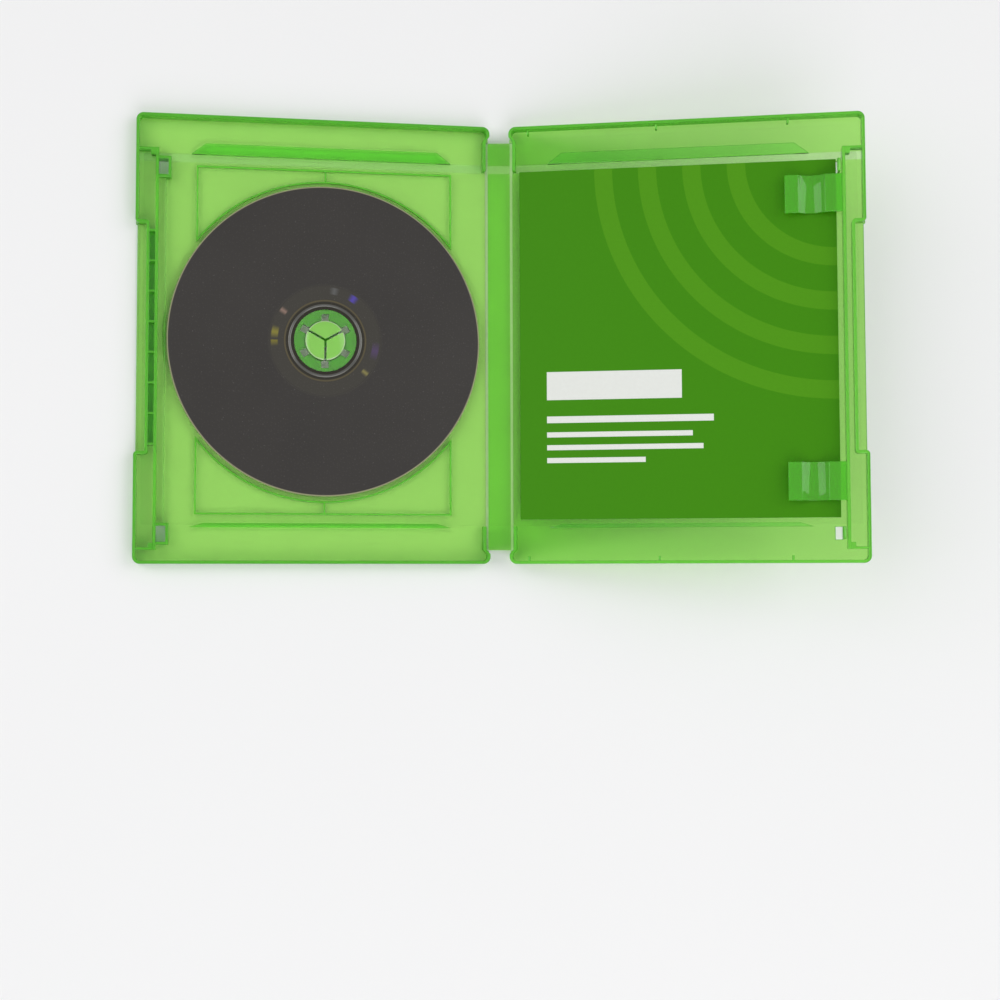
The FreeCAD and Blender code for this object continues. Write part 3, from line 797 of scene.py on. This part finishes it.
@dataclass(frozen=True)
class PanelFrame:
    """Frame of a panel: X across it from a hinge line, Y up the case and Z towards the case's inside."""

    origin: Vector
    angle: float

    def matrix(self) -> Matrix:
        """Place of the frame in the model."""
        return Matrix.Translation(self.origin) @ Matrix.Rotation(-self.angle, 4, "Y")

    def across(self) -> Vector:
        """The frame's X axis in the model."""
        return Vector((math.cos(self.angle), 0.0, math.sin(self.angle)))

    def span(self, node: str) -> tuple[Vector, Vector]:
        """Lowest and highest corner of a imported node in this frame.

        Args:
            node: the node's name.

        Returns:
            The two corners.
        """
        back = self.matrix().inverted()
        points = [back @ vertex.co for vertex in frame["nodes"][node].data.vertices]
        corners = ([pick(point[axis] for point in points) for axis in range(3)] for pick in (min, max))
        return tuple(Vector(corner) for corner in corners)


@dataclass(frozen=True)
class CaseLayout:
    """Where the three panels lie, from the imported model's two hinges."""

    first_hinge: Vector
    second_hinge: Vector

    @classmethod
    def from_joints(cls) -> "CaseLayout":
        """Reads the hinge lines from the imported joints."""
        places = {joint["name"]: Vector(joint["pos_m"]) for joint in frame["joints"]}
        return cls(places["disc_cover_hinge"], places["leaflet_cover_hinge"])

    def lean(self) -> float:
        """Angle of the spine above the floor."""
        way = self.second_hinge - self.first_hinge
        return math.atan2(way.z, way.x)

    def panel(self, body: Body) -> PanelFrame:
        """Frame of a panel.

        Args:
            body: the panel's body.

        Returns:
            The cover's frame, on its outer face, or the spine's, on its middle.
        """
        if body is Body.DISC_COVER:
            return PanelFrame(Vector((self.first_hinge.x, 0.0, 0.0)), 0.0)
        if body is Body.SPINE:
            return PanelFrame(self.first_hinge, self.lean())
        turn = 2 * self.lean()
        drop = self.first_hinge.z * Vector((math.sin(turn), 0.0, -math.cos(turn)))
        return PanelFrame(self.second_hinge + drop, turn)


def merged_copy(node: str) -> BMesh:
    """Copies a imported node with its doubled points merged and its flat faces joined.

    Args:
        node: the node's name.

    Returns:
        The copy.
    """
    shape = bmesh.new()
    shape.from_mesh(frame["nodes"][node].data)
    bmesh.ops.remove_doubles(shape, verts=shape.verts, dist=MERGE_DISTANCE)
    bmesh.ops.dissolve_limit(shape, angle_limit=FLAT_ANGLE, verts=shape.verts, edges=shape.edges)
    return shape


def is_broad(edge: BMEdge, least: float) -> bool:
    """Says whether both faces beside an edge are wide enough to lose a strip."""
    length = edge.calc_length()
    return all(face.calc_area() > least * length for face in edge.link_faces)


def is_clear_of(edge: BMEdge, hinge: Vector | None, reach: float) -> bool:
    """Says whether an edge stays away from a hinge line along Y, if there is one."""
    if hinge is None:
        return True
    return all((vertex.co - hinge).xz.length > reach for vertex in edge.verts)


def round_edges(shape: BMesh, edges: list[BMEdge], reach: float, segments: int) -> None:
    """Rounds some edges of a mesh.

    Args:
        shape: the mesh.
        edges: the edges to round.
        reach: how far the rounding reaches into each face.
        segments: strips across each rounding.
    """
    bmesh.ops.bevel(shape, geom=edges, offset=reach, offset_type="OFFSET", segments=segments, profile=0.5,
                    affect="EDGES", clamp_overlap=False, material=-1)


def ease_edges(shape: BMesh, width: float, least: float, hinge: Vector | None, reach: float) -> None:
    """Rounds the outward edges of a moulding a little, so that they catch the light.

    Args:
        shape: the moulding.
        width: how far the rounding reaches into each face.
        least: narrowest face that is eased.
        hinge: a point on its hinge line, if it has one.
        reach: how far from the hinge line its edges stay sharp.
    """
    edges = [edge for edge in shape.edges
             if edge.is_convex and edge.calc_face_angle(0.0) > CREASE_ANGLE and is_broad(edge, least)
             and is_clear_of(edge, hinge, reach)]
    round_edges(shape, edges, width, EASED_SEGMENTS)


def block(low: Vector, high: Vector) -> BMesh:
    """Makes a plain block between two corners, as the start of a piece."""
    shape = bmesh.new()
    bmesh.ops.create_cube(shape, size=1.0)
    bmesh.ops.scale(shape, vec=high - low, verts=shape.verts)
    bmesh.ops.translate(shape, vec=(low + high) / 2, verts=shape.verts)
    return shape


def edges_along(shape: BMesh, axis: int) -> list[BMEdge]:
    """Edges of a block that run along one axis."""
    return [edge for edge in shape.edges
            if abs((edge.verts[1].co - edge.verts[0].co).normalized()[axis]) > ALONG_AXIS]


def is_flat(edge: BMEdge) -> bool:
    """Says whether the two faces beside an edge lie in one plane."""
    return edge.calc_face_angle(math.pi) < FLAT_ANGLE


def is_curved(face: BMFace) -> bool:
    """Says whether a face is a strip of a round surface, which is shaded smoothly."""
    return face.calc_area() < WIDE_FACE and not any(map(is_flat, face.edges))


def make_piece(shape: BMesh, name: str, *finishes: bpy.types.Material) -> bpy.types.Object:
    """Turns a mesh under work into an object at the origin.

    Args:
        shape: the mesh, which is used up.
        name: the piece's name.
        finishes: its materials, in the order of the faces' material numbers.

    Returns:
        The object.
    """
    mesh = bpy.data.meshes.new(name)
    loose = sum(not edge.is_manifold for edge in shape.edges)
    curved = [is_curved(face) for face in shape.faces]
    shape.to_mesh(mesh)
    shape.free()
    mesh.set_sharp_from_angle(angle=SMOOTH_ANGLE)
    mesh.polygons.foreach_set("use_smooth", curved)
    for finish in finishes:
        mesh.materials.append(finish)
    piece = bpy.data.objects.new(name, mesh)
    bpy.context.scene.collection.objects.link(piece)
    log.info("%s: %d faces, %d open edges", name, len(mesh.polygons), loose)
    return piece


@dataclass
class Mouldings:
    """The two covers and the hub's three petals."""

    layout: CaseLayout
    plastics: dict[Body, tuple[bpy.types.Material, ...]]
    hub_plastics: tuple[bpy.types.Material, ...]
    edge_width: float = 0.16 * MM
    petal_edge_width: float = 0.12 * MM
    narrowest_face: float = 0.45 * MM
    hinge_reach: float = 2.6 * MM
    rib_width: float = 1.9 * MM
    crest_share: float = 0.3
    seat_radius: float = 17.5 * MM
    ledge_range: Span = (70.0 * MM, 75.7 * MM)
    clip_reach: float = 7 * MM
    clip_length: float = 20 * MM
    steepest: float = 0.5
    flattest: float = 0.95
    petal_count: int = 3

    def build(self) -> Iterator[bpy.types.Object]:
        """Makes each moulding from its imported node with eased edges."""
        for body, hinge in ((Body.DISC_COVER, self.layout.first_hinge),
                            (Body.LEAFLET_COVER, self.layout.second_hinge)):
            yield self.cover(body, hinge)
        for number in range(1, self.petal_count + 1):
            node = f"hub_petal_{number}"
            shape = merged_copy(node)
            ease_edges(shape, self.petal_edge_width, self.narrowest_face, None, 0.0)
            # Flat tops take the hub's lit plastic, and upright edges a painted highlight.
            for face in shape.faces:
                face.material_index = 0 if face.normal.z > self.flattest else 1
            yield self.moulding(shape, node, *self.hub_plastics)

    def cover(self, body: Body, hinge: Vector) -> bpy.types.Object:
        """Makes a cover, with a deeper plastic painted as shade where it is thick in the line of sight and
        on its ledges, and a lit copy of its plastic on its clips.

        Args:
            body: the cover.
            hinge: a point on its hinge line.

        Returns:
            The piece.
        """
        shape = merged_copy(body.value)
        ease_edges(shape, self.edge_width, self.narrowest_face, hinge, self.hinge_reach)
        off = self.layout.panel(body).matrix().to_3x3() @ Vector((0.0, 0.0, 1.0))
        # Upright walls, rib crests and the hub's seat take the deeper plastic as painted shade.
        for face in shape.faces:
            face.material_index = Patch.SHADED_DEEP if self.takes_painted_shade(face, off) else Patch.FLOOR
        # The stops' tops take a deeper green as painted shade.
        for face in filter(self.is_ledge, shape.faces):
            face.material_index = Patch.SHADED_LEDGE
        # The clips get a lit, cloudier copy of the plastic as painted light.
        if body is Body.LEAFLET_COVER:
            for face in self.clip_faces(shape):
                face.material_index = Patch.LIT_CLIP
        return self.moulding(shape, body.value, *self.plastics[body])

    def takes_painted_shade(self, face: BMFace, off: Vector) -> bool:
        """Says whether a face is an upright wall, a rib's crest or part of the hub's seat, which take a
        deeper plastic as painted shade.

        Args:
            face: a face of a cover.
            off: the way off the cover's panel.

        Returns:
            Whether it is one of them.
        """
        upright = abs(face.normal.dot(off)) < self.steepest
        rim = face.calc_perimeter()
        joined = sum(edge.calc_length() for edge in filter(is_flat, face.edges))
        crest = face.calc_area() < self.rib_width / 2 * rim and joined < self.crest_share * rim
        seat = all(vertex.co.xy.length < self.seat_radius for vertex in face.verts)
        return upright or crest or seat

    def is_ledge(self, face: BMFace) -> bool:
        """Says whether a face is the wide top of one of the stops near the case's ends, which takes a deeper
        green as painted shade.
        """
        between = all(self.ledge_range[0] < abs(vertex.co.y) < self.ledge_range[1] for vertex in face.verts)
        return between and face.calc_area() > WIDE_FACE

    def clip_faces(self, shape: BMesh) -> Iterator[BMFace]:
        """Faces of the leaflet cover over the leaflet's outer edge, which are its two clips."""
        panel = self.layout.panel(Body.LEAFLET_COVER)
        low, high = panel.span("leaflet")
        back = panel.matrix().inverted()
        for face in shape.faces:
            points = [back @ vertex.co for vertex in face.verts]
            if all(high.x - self.clip_length < point.x < high.x + self.clip_reach
                   and low.y < point.y < high.y and point.z > high.z for point in points):
                yield face

    def moulding(self, shape: BMesh, node: str, *finishes: bpy.types.Material) -> bpy.types.Object:
        """Makes one moulding.

        Args:
            shape: its mesh.
            node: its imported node, which has the name of its body.
            finishes: its plastics.

        Returns:
            The piece.
        """
        piece = make_piece(shape, f"{node}_moulding", *finishes)
        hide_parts(node)
        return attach(piece, node)


@dataclass
class HingeSpine:
    """The spine's wall and the two thin webs that hinge it to the covers."""

    layout: CaseLayout
    plastic: bpy.types.Material
    web_plastic: bpy.types.Material
    bead_radius: float = 0.45 * MM
    web_thickness: float = 0.3 * MM
    cover_reach: float = 0.64 * MM
    spine_reach: float = 0.44 * MM
    web_cuts: int = 7

    def build(self) -> Iterator[bpy.types.Object]:
        """Makes the wall, then the webs."""
        yield self.wall()
        first = (self.layout.panel(Body.DISC_COVER), Body.DISC_COVER, self.layout.first_hinge, Body.SPINE)
        second = (self.layout.panel(Body.SPINE), Body.SPINE, self.layout.second_hinge, Body.LEAFLET_COVER)
        yield self.web("disc_side_web", *first, self.cover_reach, self.spine_reach)
        yield self.web("leaflet_side_web", *second, self.spine_reach, self.cover_reach)

    def wall(self) -> bpy.types.Object:
        """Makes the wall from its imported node, without the round beads on the hinge lines."""
        shape = merged_copy("spine")
        across = self.layout.panel(Body.SPINE).across()
        for hinge, way in ((self.layout.first_hinge, 1), (self.layout.second_hinge, -1)):
            whole = [*shape.verts, *shape.edges, *shape.faces]
            bmesh.ops.bisect_plane(shape, geom=whole, dist=MERGE_DISTANCE, clear_inner=True,
                                   plane_co=hinge + way * self.bead_radius * across, plane_no=way * across)
            bmesh.ops.holes_fill(shape, edges=[edge for edge in shape.edges if edge.is_boundary], sides=0)
        piece = make_piece(shape, "spine_wall", self.plastic)
        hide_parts("spine")
        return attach(piece, Body.SPINE.value)

    def web(self, name: str, near: PanelFrame, near_body: Body, hinge: Vector, far_body: Body,
            near_reach: float, far_reach: float) -> bpy.types.Object:
        """Makes one hinge web, which bends with its hinge.

        Args:
            name: the piece's name.
            near: frame of the panel on its left.
            near_body: body of that panel.
            hinge: a point on the hinge line.
            far_body: body of the panel on its right.
            near_reach: how far it reaches to the left of the hinge line.
            far_reach: how far it reaches to the right.

        Returns:
            The piece.
        """
        low, high = self.layout.panel(Body.SPINE).span("spine")
        half = self.web_thickness / 2
        shape = block(Vector((-near_reach, low.y, -half)), Vector((far_reach, high.y, half)))
        bmesh.ops.subdivide_edges(shape, edges=edges_along(shape, 0), cuts=self.web_cuts,
                                  use_grid_fill=True)
        right = [vertex for vertex in shape.verts if vertex.co.x > 0]
        bmesh.ops.rotate(shape, verts=right, cent=(0.0, 0.0, 0.0),
                         matrix=Matrix.Rotation(-self.layout.lean(), 3, "Y"))
        bmesh.ops.transform(shape, matrix=PanelFrame(hinge, near.angle).matrix(), verts=shape.verts)
        piece = make_piece(shape, name, self.web_plastic)
        way = near.across()
        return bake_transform(piece, near_body.value, far_body.value,
                        start=hinge - near_reach * way, end=hinge + far_reach * way)


@dataclass
class StoredDisc:
    """The disc: a clear middle, and the coated ring round it with its stacking ridge."""

    clear: bpy.types.Material
    label: bpy.types.Material
    mirror: bpy.types.Material
    ridge_radius: float = 13.7 * MM
    ridge_width: float = 0.9 * MM
    crest_width: float = 0.2 * MM
    ridge_height: float = 0.15 * MM
    coat_start: float = 12.0 * MM
    joint_gap: float = 0.03 * MM
    seat_gap: float = 0.03 * MM
    chamfer: float = 0.2 * MM
    flattest: float = 0.9
    steps: int = 180

    def build(self) -> Iterator[bpy.types.Object]:
        """Makes the middle, then the ring."""
        low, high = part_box("disc")
        bottom = low.z + self.seat_gap
        top = high.z - self.ridge_height
        hole = min(vertex.co.xy.length for vertex in frame["nodes"]["disc"].data.vertices)
        yield self.middle(hole, bottom, top)
        yield self.ring(high.x, bottom, top)

    def spun(self, profile: list[tuple[float, float]]) -> BMesh:
        """Spins a closed outline about the disc's axis.

        Args:
            profile: the outline's corners as radius and height.

        Returns:
            The closed ring.
        """
        shape = bmesh.new()
        corners = [shape.verts.new((radius, 0.0, height)) for radius, height in profile]
        for step, corner in enumerate(corners):
            shape.edges.new((corner, corners[step - 1]))
        bmesh.ops.spin(shape, geom=[*shape.verts, *shape.edges], cent=(0.0, 0.0, 0.0), axis=(0.0, 0.0, 1.0),
                       angle=math.tau, steps=self.steps, use_merge=True)
        bmesh.ops.remove_doubles(shape, verts=shape.verts, dist=MERGE_DISTANCE)
        bmesh.ops.recalc_face_normals(shape, faces=shape.faces)
        return shape

    def middle(self, hole: float, bottom: float, top: float) -> bpy.types.Object:
        """Makes the clear middle.

        Args:
            hole: radius of the hole.
            bottom: height of the underside.
            top: height of the upper face.

        Returns:
            The piece.
        """
        rim = self.coat_start - self.joint_gap
        bevel = self.chamfer / 2
        shape = self.spun([
            (hole, bottom + bevel), (hole + bevel, bottom), (rim, bottom),
            (rim, top), (hole + bevel, top), (hole, top - bevel),
        ])
        piece = make_piece(shape, "disc_middle", self.clear)
        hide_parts("disc")
        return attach(piece, Body.DISC_COVER.value)

    def ring(self, outer: float, bottom: float, top: float) -> bpy.types.Object:
        """Makes the coated ring, its underside with the read side's finish.

        Args:
            outer: radius of the disc.
            bottom: height of the underside.
            top: height of the upper face.

        Returns:
            The piece.
        """
        half, crest = self.ridge_width / 2, self.crest_width / 2
        shape = self.spun([
            (self.coat_start, bottom), (outer - self.chamfer, bottom), (outer, bottom + self.chamfer),
            (outer, top - self.chamfer), (outer - self.chamfer, top),
            (self.ridge_radius + half, top), (self.ridge_radius + crest, top + self.ridge_height),
            (self.ridge_radius - crest, top + self.ridge_height), (self.ridge_radius - half, top),
            (self.coat_start, top),
        ])
        for face in shape.faces:
            face.material_index = 1 if face.normal.z < -self.flattest else 0
        piece = make_piece(shape, "disc_ring", self.label, self.mirror)
        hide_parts("disc")
        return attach(piece, Body.DISC_COVER.value)


@dataclass
class Leaflet:
    """The folded leaflet under the two clips."""

    layout: CaseLayout
    printed: bpy.types.Material
    paper: bpy.types.Material
    floor_gap: float = 0.03 * MM
    fold_radius: float = 0.16 * MM
    fold_segments: int = 4
    least_slope: float = 0.1

    def build(self) -> Iterator[bpy.types.Object]:
        """Makes the leaflet, with a round fold on its hinge side and bare paper at its cut edges."""
        panel = self.layout.panel(Body.LEAFLET_COVER)
        low, high = panel.span("leaflet")
        low.z += self.floor_gap
        shape = block(low, high)
        fold = [edge for edge in edges_along(shape, 1) if edge.verts[0].co.x < (low.x + high.x) / 2]
        round_edges(shape, fold, self.fold_radius, self.fold_segments)
        for face in shape.faces:
            printed = face.normal.z > self.least_slope or face.normal.x < -self.least_slope
            face.material_index = 0 if printed else 1
        bmesh.ops.transform(shape, matrix=panel.matrix(), verts=shape.verts)
        piece = make_piece(shape, "leaflet_sheet", self.printed, self.paper)
        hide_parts("leaflet")
        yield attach(piece, Body.LEAFLET_COVER.value)


@dataclass
class FilmSleeve:
    """The clear film on the outer faces, in three panels."""

    layout: CaseLayout
    film: bpy.types.Material
    skin_gap: float = 0.02 * MM
    corner_radius: float = 0.8 * MM
    corner_segments: int = 4

    def build(self) -> Iterator[bpy.types.Object]:
        """Makes each panel a hair thinner than its recess."""
        for body, node in ((Body.DISC_COVER, "disc_side_film"), (Body.SPINE, "spine_film"),
                           (Body.LEAFLET_COVER, "leaflet_side_film")):
            panel = self.layout.panel(body)
            low, high = panel.span(node)
            low.z += self.skin_gap
            high.z -= self.skin_gap
            shape = block(low, high)
            round_edges(shape, edges_along(shape, 2), self.corner_radius, self.corner_segments)
            bmesh.ops.transform(shape, matrix=panel.matrix(), verts=shape.verts)
            piece = make_piece(shape, f"{node}_sheet", self.film)
            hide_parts(node)
            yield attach(piece, body.value)


@dataclass(frozen=True)
class Lamp:
    """A soft square lamp: where it hangs, its side and the light that it gives."""

    name: str
    place: Triple
    side: float
    watts: float


@dataclass
class Studio:
    """The floor, the lamps, the surrounding light and the camera."""

    floor_drop: float = 0.2 * MM
    floor_side: float = 6.0
    sky: float = 0.46
    sky_colour: Colour = (1.0, 1.0, 1.0)
    lamps: tuple[Lamp, ...] = (
        Lamp("left_softbox", (-1.1, 0.2, 1.0), 1.3, 8.5),
        Lamp("front_softbox", (0.3, -1.2, 1.0), 1.3, 8.5),
        Lamp("right_softbox", (1.2, 0.3, 1.1), 1.2, 7.5),
    )
    target: Triple = (0.06, 0.0, 0.0)
    frame_px: float = 1000.0
    focal_px: float = 1481.0
    centre_px: tuple[float, float] = (450.0, 500.0)
    sensor_mm: float = 36.0
    nearest: float = 10 * MM
    camera_place: Triple = (-35.4 * MM, -92.1 * MM, 569.8 * MM)
    camera_tilt: float = math.radians(-3.11)
    camera_swing: float = math.radians(8.42)
    camera_roll: float = math.radians(0.07)

    def build(self, floor: bpy.types.Material) -> None:
        """Sets up the studio.

        Args:
            floor: the floor's finish.
        """
        self.lay_floor(floor)
        self.light_sky()
        for lamp in self.lamps:
            self.hang(lamp)
        self.set_camera()
        bpy.context.scene.view_settings.view_transform = "Standard"
        # Filtered gloss would leave the clear panels too dark.
        bpy.context.scene.cycles.blur_glossy = 0.0

    def lay_floor(self, finish: bpy.types.Material) -> None:
        """Lays the floor just below the case."""
        shape = bmesh.new()
        bmesh.ops.create_grid(shape, x_segments=1, y_segments=1, size=self.floor_side / 2)
        bmesh.ops.translate(shape, vec=(0.0, 0.0, -self.floor_drop), verts=shape.verts)
        make_piece(shape, "studio_floor", finish)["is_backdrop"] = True

    def light_sky(self) -> None:
        """Surrounds the case with even light."""
        world = bpy.data.worlds.new("studio_light")
        world.use_nodes = True
        graph = Graph(world.node_tree)
        light = graph.node("Background", None, {"Color": rgba(self.sky_colour), "Strength": self.sky})
        graph.node("OutputWorld", None, {"Surface": light.outputs[0]})
        bpy.context.scene.world = world

    def hang(self, lamp: Lamp) -> None:
        """Hangs a lamp that faces the case."""
        light = bpy.data.lights.new(lamp.name, "AREA")
        light.size = lamp.side
        light.energy = lamp.watts
        holder = bpy.data.objects.new(lamp.name, light)
        holder.location = lamp.place
        way = Vector(self.target) - Vector(lamp.place)
        holder.rotation_euler = way.to_track_quat("-Z", "Y").to_euler()
        bpy.context.scene.collection.objects.link(holder)

    def set_camera(self) -> None:
        """Places the camera above the open case."""
        lens = bpy.data.cameras.new("camera")
        lens.sensor_width = self.sensor_mm
        lens.lens = self.focal_px / self.frame_px * self.sensor_mm
        lens.shift_x = (self.frame_px / 2 - self.centre_px[0]) / self.frame_px
        lens.shift_y = (self.centre_px[1] - self.frame_px / 2) / self.frame_px
        lens.clip_start = self.nearest
        turned = (Matrix.Rotation(self.camera_roll, 3, "Z") @ Matrix.Rotation(self.camera_tilt, 3, "X")
                  @ Matrix.Rotation(self.camera_swing, 3, "Y"))
        camera = bpy.data.objects.new("camera", lens)
        camera.matrix_world = Matrix.Translation(self.camera_place) @ turned.transposed().to_4x4()
        bpy.context.scene.collection.objects.link(camera)
        bpy.context.scene.camera = camera


def record_sizes() -> None:
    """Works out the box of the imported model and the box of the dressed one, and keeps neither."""
    boxes = {"cad": CAD_BOX, "visual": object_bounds()}
    {name: [list(corner) for corner in box] for name, box in boxes.items()}


def main() -> None:
    """Dresses the case piece by piece, then sets up the studio."""
    logging.basicConfig(level=logging.INFO, format="%(message)s")
    layout = CaseLayout.from_joints()
    film_top = layout.panel(Body.DISC_COVER).span("disc_side_film")[1].y / MM
    hem = (film_top - SleeveFilm.hem_height, film_top)
    # Painted shade: the walls' plastic is a deeper, cloudier copy of the cover's green.
    shaded_walls = ClearPlastic("shaded_wall_plastic", Tint.SHADED_WALL, clearness=0.5).material()
    # Painted light: the clips' plastic is a cloudier copy so that the lamps light it.
    clips = ClearPlastic("lit_clip_plastic", Tint.LIT_CLIP, clearness=0.6).material()
    # Painted shade: a deeper copy of the green for the stops' tops.
    shaded_ledges = ClearPlastic("shaded_ledge_plastic", Tint.SHADED_LEDGE).material()
    # Painted light: the cover and spine plastics are paler over the film's hem.
    disc_side = ClearPlastic("disc_cover_plastic", Tint.DISC_COVER, hem_glow_band=hem).material()
    # Painted shade: the leaflet cover and the spine take deeper copies of the disc cover's green.
    leaflet_side = ClearPlastic("shaded_leaflet_cover_plastic", Tint.LEAFLET_COVER, hem_glow_band=hem).material()
    shaded_spine_plastic = ClearPlastic("shaded_spine_plastic", Tint.SPINE, hem_glow_band=hem).material()
    # Painted light on the hub, and a painted highlight on its petals' edges.
    petals = ClearPlastic("lit_hub_plastic", Tint.LIT_PETAL, clearness=0.35).material()
    petal_highlights = ClearPlastic("hub_edge_highlight", Tint.PETAL_HIGHLIGHT, clearness=0.4).material()
    web_plastic = ClearPlastic("hinge_web_plastic", Tint.WEB, roughness=0.1).material()
    plastics = {
        Body.DISC_COVER: (disc_side, shaded_walls, shaded_ledges),
        Body.LEAFLET_COVER: (leaflet_side, shaded_walls, shaded_ledges, clips),
    }
    assemblies = (
        Mouldings(layout, plastics, (petals, petal_highlights)),
        HingeSpine(layout, shaded_spine_plastic, web_plastic),
        StoredDisc(ClearDisc("clear_disc_middle").material(), DiscLabel("disc_label").material(),
                   DiscMirror("disc_read_side").material()),
        Leaflet(layout, LeafletPrint("leaflet_print", layout.panel(Body.LEAFLET_COVER)).material(),
                PaperEdge("leaflet_paper").material()),
        FilmSleeve(layout, SleeveFilm("sleeve_film", film_top).material()),
    )
    for assembly in assemblies:
        for piece in assembly.build():
            log.info("%s rides on %s", piece.name, body_of(piece))
    Studio().build(PaleFloor("pale_floor").material())
    record_sizes()


if __name__ == "__main__":
    main()
